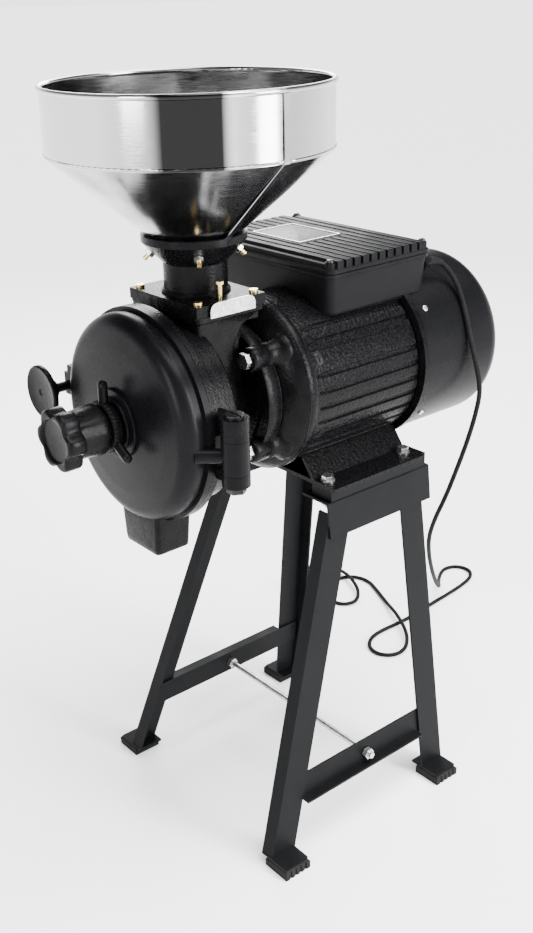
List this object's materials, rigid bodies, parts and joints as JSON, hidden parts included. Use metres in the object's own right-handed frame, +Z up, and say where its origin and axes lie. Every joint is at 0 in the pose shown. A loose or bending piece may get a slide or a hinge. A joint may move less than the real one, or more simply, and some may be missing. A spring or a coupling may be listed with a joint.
{
  "type": "electric grain mill",
  "caption": "Tall motor-driven burr mill for grain: steel hopper over a grinding head with an adjusting knob, on a splayed folded-steel stand.",
  "frame": {"origin": "on the floor, in the middle of the ground the mill covers without its cord", "axes": "+Z up; -Y towards the adjusting knob, along the motor's shaft; +X towards the grinding head's hinge"},
  "size_m": [0.5768, 0.9405, 0.9335],
  "materials": {
    "casting": "black paint over rough cast iron",
    "housing": "black wrinkle paint",
    "box": "fine-grained moulded plastic",
    "cover": "smooth satin black paint",
    "stand": "dark grey hammered paint",
    "feet": "matt moulded rubber",
    "knob": "moulded plastic with a soft shine",
    "hopper_steel": "rolled stainless sheet",
    "zinc": "zinc-plated",
    "brass": "bright",
    "bright_steel": "machined",
    "burr_iron": "ground white iron",
    "laminations": "stacked electrical steel",
    "copper": "lacquered copper wire",
    "fan_plastic": "moulded",
    "bare_label": "bare, nothing printed",
    "cord": "black flexible sheath"
  },
  "bodies": {
    "base": {"bare_plate": "bare_label", "cable_gland": "cord", "capacitors": "fan_plastic", "channel_left": "stand", "channel_right": "stand", "crossbar_left": "stand", "crossbar_right": "stand", "fan_cover": "housing", "fan_cover_screws": "zinc", "feed_throat": "casting", "fixed_burr": "burr_iron", "front_bearing": "bright_steel", "front_end_shield": "casting", "gate_stop_screw": "brass", "hinge_pin": "zinc", "hopper": "hopper_steel", "hopper_nuts": "zinc", "hopper_screws": "brass", "leg_front_left": "stand", "leg_front_right": "stand", "leg_rear_left": "stand", "leg_rear_right": "stand", "lid_screws": "brass", "mill_body": "casting", "mill_bolts": "zinc", "motor_base": "housing", "motor_bolts": "zinc", "motor_housing": "housing", "motor_nuts": "zinc", "power_cord": "cord", "power_plug": "cord", "rear_bearing": "bright_steel", "rear_end_shield": "casting", "rubber_feet": "feet", "spacer_left": "stand", "spacer_right": "stand", "stator_core": "laminations", "stator_windings": "copper", "terminal_block": "fan_plastic", "terminal_box": "box", "terminal_box_lid": "box", "throat_screws": "zinc", "tie_rod": "zinc", "tie_rod_nuts": "zinc"},
    "gate": {"feed_gate": "bright_steel"},
    "rotor": {"motor_shaft": "bright_steel", "rotor_core": "laminations", "cooling_fan": "fan_plastic"},
    "burr_head": {"burr_carrier": "burr_iron", "moving_burr": "burr_iron", "feed_screw": "burr_iron", "thrust_nose": "bright_steel"},
    "cover": {"front_cover": "cover"},
    "lock": {"lock_ring": "zinc"},
    "thrust": {"thrust_ball": "bright_steel"},
    "adjuster": {"adjusting_screw": "bright_steel", "star_knob": "knob"},
    "clamp": {"clamp_screw": "zinc"}
  },
  "joints": [
    {"name": "rotor_spin", "type": "hinge", "parent": "base", "child": "rotor", "pos_m": [0, 0, 0.58], "axis": [0, 1, 0], "continuous": true},
    {"name": "cover_hinge", "type": "hinge", "parent": "base", "child": "cover", "pos_m": [0.142, -0.1695, 0.569], "axis": [0, 0, 1], "range_deg": [0, 110]},
    {"name": "adjuster_slide", "type": "slide", "parent": "cover", "child": "thrust", "axis": [0, -1, 0], "range_m": [0, 0.003]},
    {"name": "knob_turn", "type": "hinge", "parent": "thrust", "child": "adjuster", "pos_m": [0, -0.2, 0.58], "axis": [0, -1, 0], "range_deg": [0, 720]},
    {"name": "burr_axial", "type": "slide", "parent": "rotor", "child": "burr_head", "axis": [0, -1, 0], "range_m": [0, 0.003]},
    {"name": "lock_turn", "type": "hinge", "parent": "cover", "child": "lock", "pos_m": [0, -0.24, 0.58], "axis": [0, -1, 0], "range_deg": [0, 90]},
    {"name": "clamp_turn", "type": "hinge", "parent": "cover", "child": "clamp", "pos_m": [-0.146, -0.2, 0.58], "axis": [0, -1, 0], "continuous": true},
    {"name": "gate_slide", "type": "slide", "parent": "base", "child": "gate", "axis": [1, 0, 0], "range_m": [0, 0.058]}
  ],
  "couplings": [
    {"joint": "adjuster_slide", "follows": "knob_turn", "m_per_rad": 0.00023873},
    {"joint": "burr_axial", "follows": "knob_turn", "m_per_rad": 0.00023873}
  ]
}
